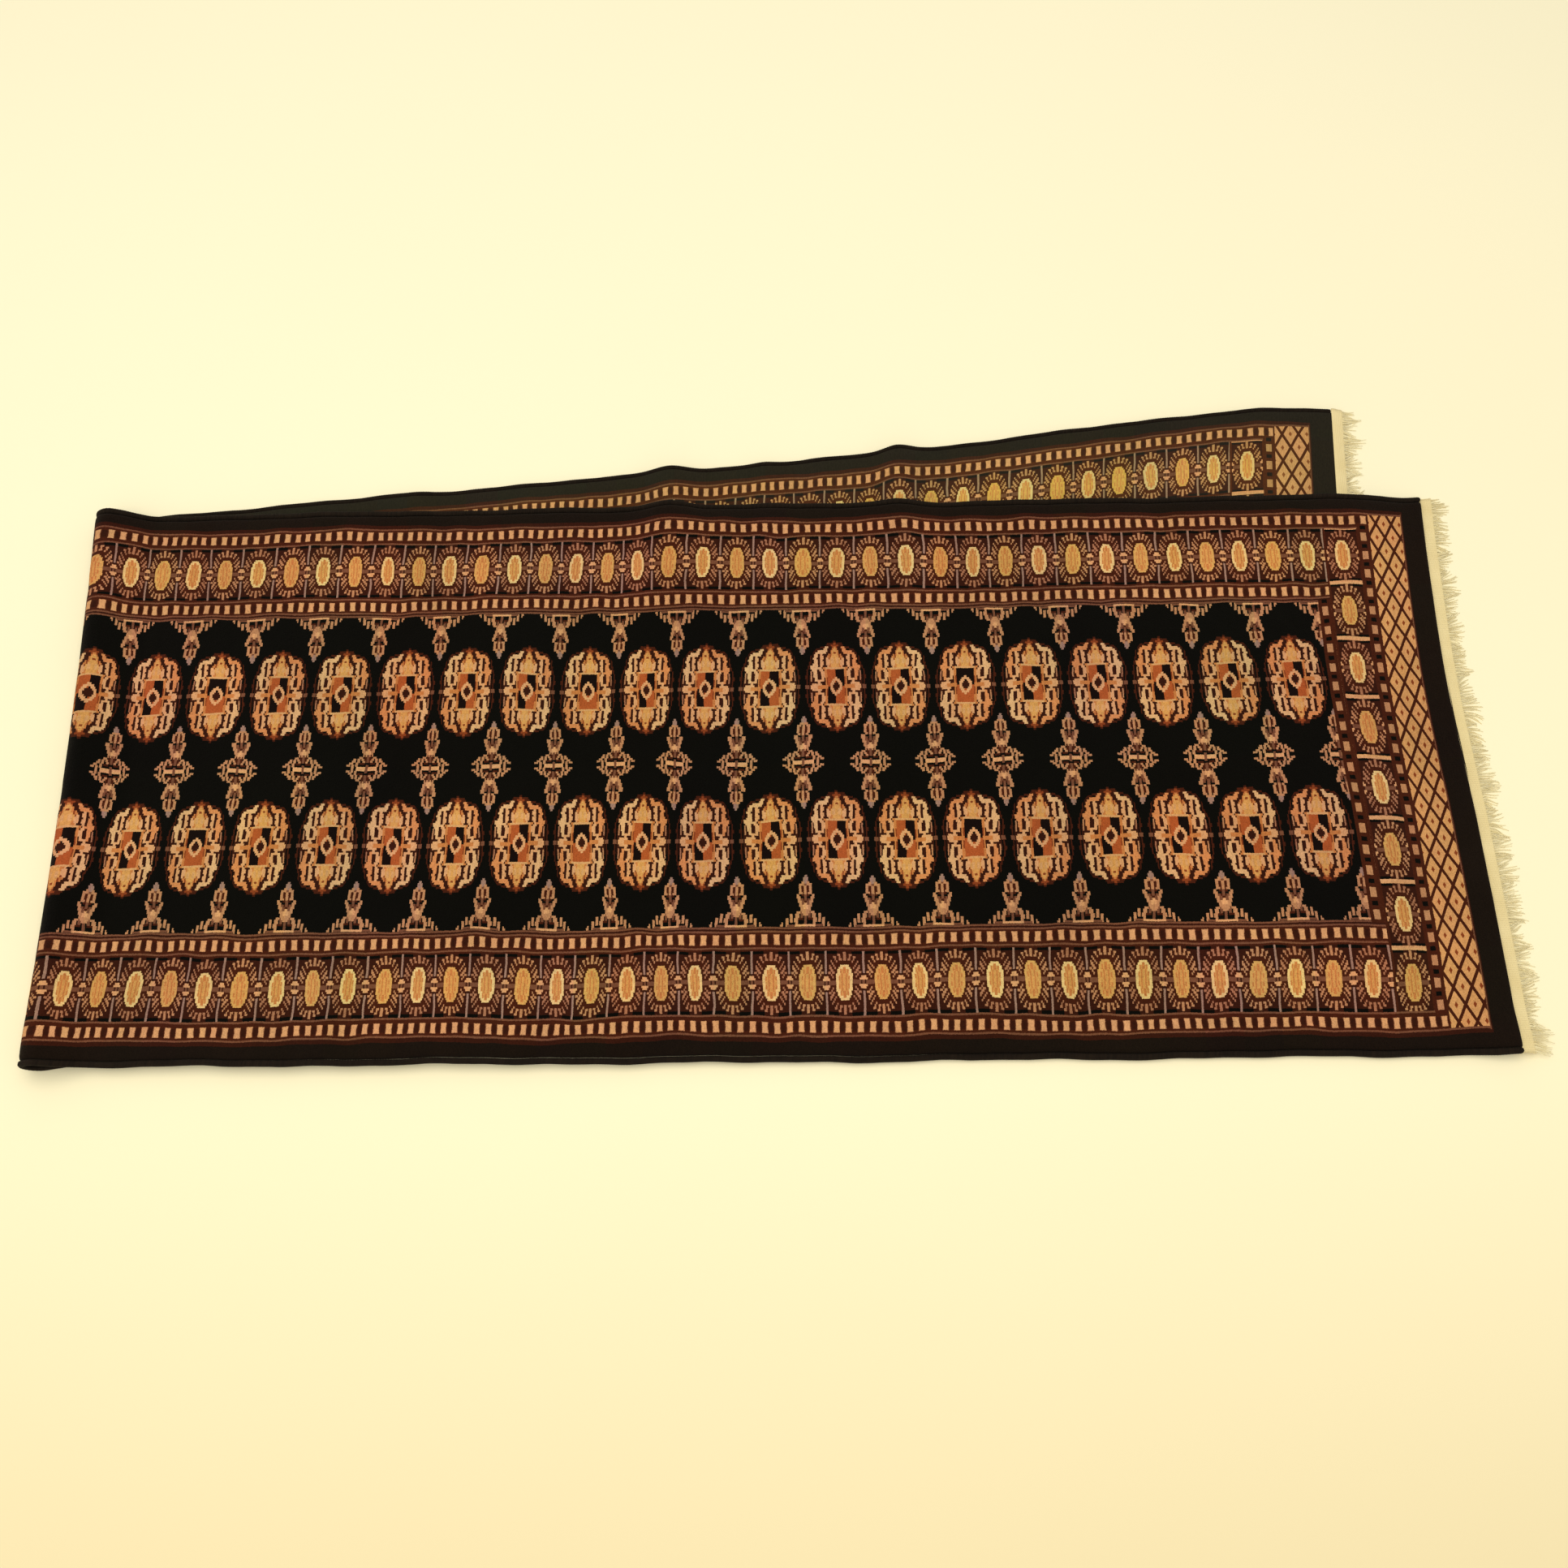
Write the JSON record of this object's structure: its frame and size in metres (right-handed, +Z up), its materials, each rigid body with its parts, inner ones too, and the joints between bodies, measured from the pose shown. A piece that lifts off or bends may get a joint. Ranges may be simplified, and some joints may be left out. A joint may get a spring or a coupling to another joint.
{
  "type": "bokhara runner rug",
  "caption": "Long narrow hand-knotted pile rug folded once across its middle and laid flat, with side cords and a fringe at both ends.",
  "frame": {"origin": "middle of the underside of the box around the whole folded rug, on the surface it lies on", "axes": "+X runs from the fold to the fringed ends, +Y across the rug towards the edge where the lower half fans out, +Z up"},
  "size_m": [1.873, 0.917, 0.0415],
  "materials": {
    "knotted_wool": "cut wool pile, black ground with rust, gold and ivory patterns",
    "black_wool": "wrapped wool yarn",
    "cream_cotton": "plain woven strip and loose cotton ends"
  },
  "bodies": {
    "root": {"rug_body": "knotted_wool", "side_cord_far": "black_wool", "side_cord_near": "black_wool", "fringe_upper": "cream_cotton", "fringe_lower": "cream_cotton"}
  },
  "joints": []
}
